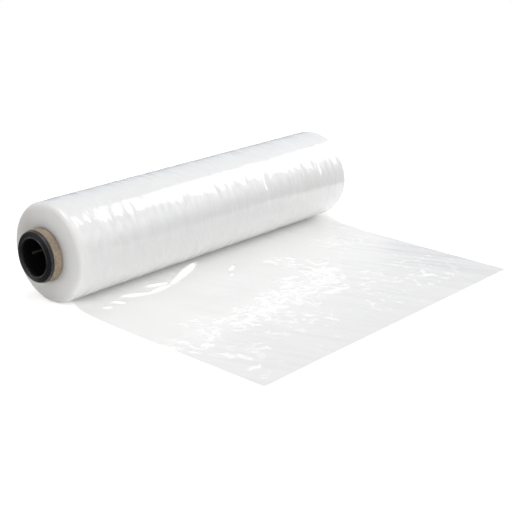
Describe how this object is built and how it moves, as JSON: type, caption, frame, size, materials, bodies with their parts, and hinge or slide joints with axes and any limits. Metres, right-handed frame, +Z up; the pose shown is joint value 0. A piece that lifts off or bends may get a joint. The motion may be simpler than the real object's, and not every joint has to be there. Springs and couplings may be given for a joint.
{
  "type": "stretch wrap roll",
  "caption": "Hand roll of clear stretch film on a cardboard core with a slotted black plug in each end, its free tail laid out flat in front of it.",
  "frame": {"origin": "middle of the roll's axis, which is the axis of the spindle bore through both plugs", "axes": "+X along the axis from the plug that the picture shows to the hidden one, +Z up, and the free tail runs towards -Y on the surface that the roll lies on"},
  "size_m": [0.4874, 0.3604, 0.1104],
  "materials": {
    "clear_film": "glossy clear film, milky where many turns lie on each other",
    "core_board": "plain spiral-wound board",
    "black_plastic": "moulded, satin"
  },
  "bodies": {
    "root": {"stretch_film": "clear_film", "cardboard_core": "core_board", "near_end_plug": "black_plastic", "far_end_plug": "black_plastic"}
  },
  "joints": []
}
